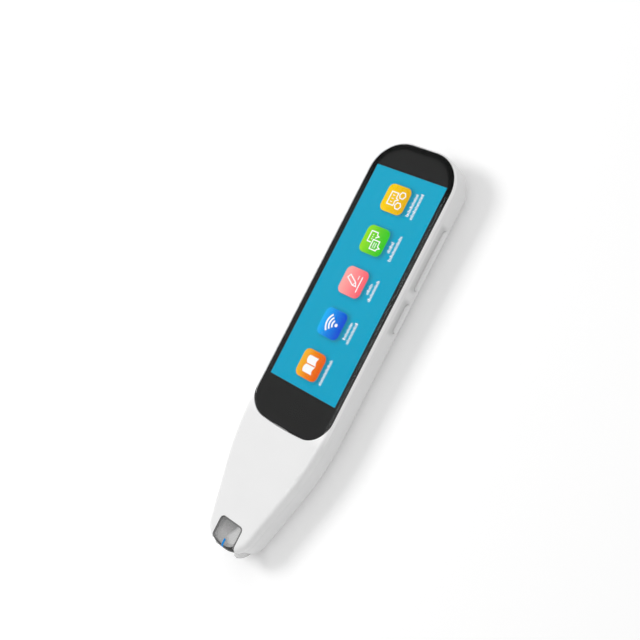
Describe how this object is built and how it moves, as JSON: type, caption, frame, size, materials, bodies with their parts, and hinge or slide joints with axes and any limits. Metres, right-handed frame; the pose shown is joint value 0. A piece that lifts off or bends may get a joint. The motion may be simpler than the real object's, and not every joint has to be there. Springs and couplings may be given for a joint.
{
  "type": "scanning pen",
  "caption": "Hand held scanning pen with a long touch screen, side keys, a rear speaker grille and a sprung smoky scan head at its tapered tip.",
  "frame": {"origin": "middle of the flat back that the pen lies on", "axes": "+X to the side with the keys, +Y to the rounded top end, +Z out of the screen"},
  "size_m": [0.0373, 0.1537, 0.014],
  "materials": {
    "white_shell": "satin moulded white plastic",
    "white_key": "satin moulded white plastic",
    "white_inner": "plain white plastic",
    "clear_glass": "polished toughened glass",
    "black_plastic": "black plastic",
    "black_mesh": "fine woven dust mesh",
    "screen": "lit display panel",
    "steel": "pressed steel",
    "spring_steel": "drawn spring wire",
    "board": "solder resist over glass fibre board",
    "copper_flex": "amber flexible circuit",
    "battery_foil": "aluminium laminate pouch",
    "foam": "adhesive foam",
    "smoky_hood": "smoky clear plastic, polished",
    "blue_mark": "blue inlay",
    "grey_carriage": "light grey sliding plastic",
    "bumper_rubber": "black rubber",
    "lamp": "white lamp with a yellow phosphor"
  },
  "bodies": {
    "casing": {"front_housing": "white_shell", "rear_shell": "white_shell", "cover_glass": "clear_glass", "glass_gasket": "black_plastic", "display_panel": "screen", "backlight": "white_inner", "display_tray": "steel", "chassis": "black_plastic", "main_board": "board", "board_screws": "steel", "shield_can": "steel", "board_chips": "black_plastic", "antenna_strip": "copper_flex", "speaker": "black_plastic", "speaker_mesh": "black_mesh", "usb_socket": "steel", "usb_tongue": "black_plastic", "microphone": "steel", "battery": "battery_foil", "battery_pad": "foam", "battery_circuit": "board", "key_board": "board", "key_switches": "steel", "key_bracket": "steel", "head_guide": "black_plastic", "head_springs": "spring_steel", "trigger_switch": "black_plastic", "camera_lens": "black_plastic", "camera_holder": "black_plastic", "camera_sensor": "board", "camera_flex": "copper_flex", "lamp_board": "board", "lamps": "lamp", "display_flex": "copper_flex"},
    "scan_head": {"scan_hood": "smoky_hood", "guide_mark": "blue_mark", "head_frame": "white_inner", "scan_lip": "black_plastic", "head_carriage": "grey_carriage", "head_bumper": "bumper_rubber"},
    "volume_rocker": {"volume_key": "white_key"},
    "power_button": {"power_key": "white_key"}
  },
  "joints": [
    {"name": "head_press", "type": "slide", "parent": "casing", "child": "scan_head", "axis": [0, 1, 0], "range_m": [0, 0.0012], "stiffness_N_per_m": 500, "springref_m": -0.001, "deforming": ["head_springs"]},
    {"name": "volume_rock", "type": "hinge", "parent": "casing", "child": "volume_rocker", "pos_m": [0.01375, 0.0418, 0.0065], "axis": [0, 0, 1], "range_deg": [-1, 1], "stiffness_Nm_per_rad": 0.8},
    {"name": "power_press", "type": "slide", "parent": "casing", "child": "power_button", "axis": [-1, 0, 0], "range_m": [0, 0.00025], "stiffness_N_per_m": 1500}
  ]
}
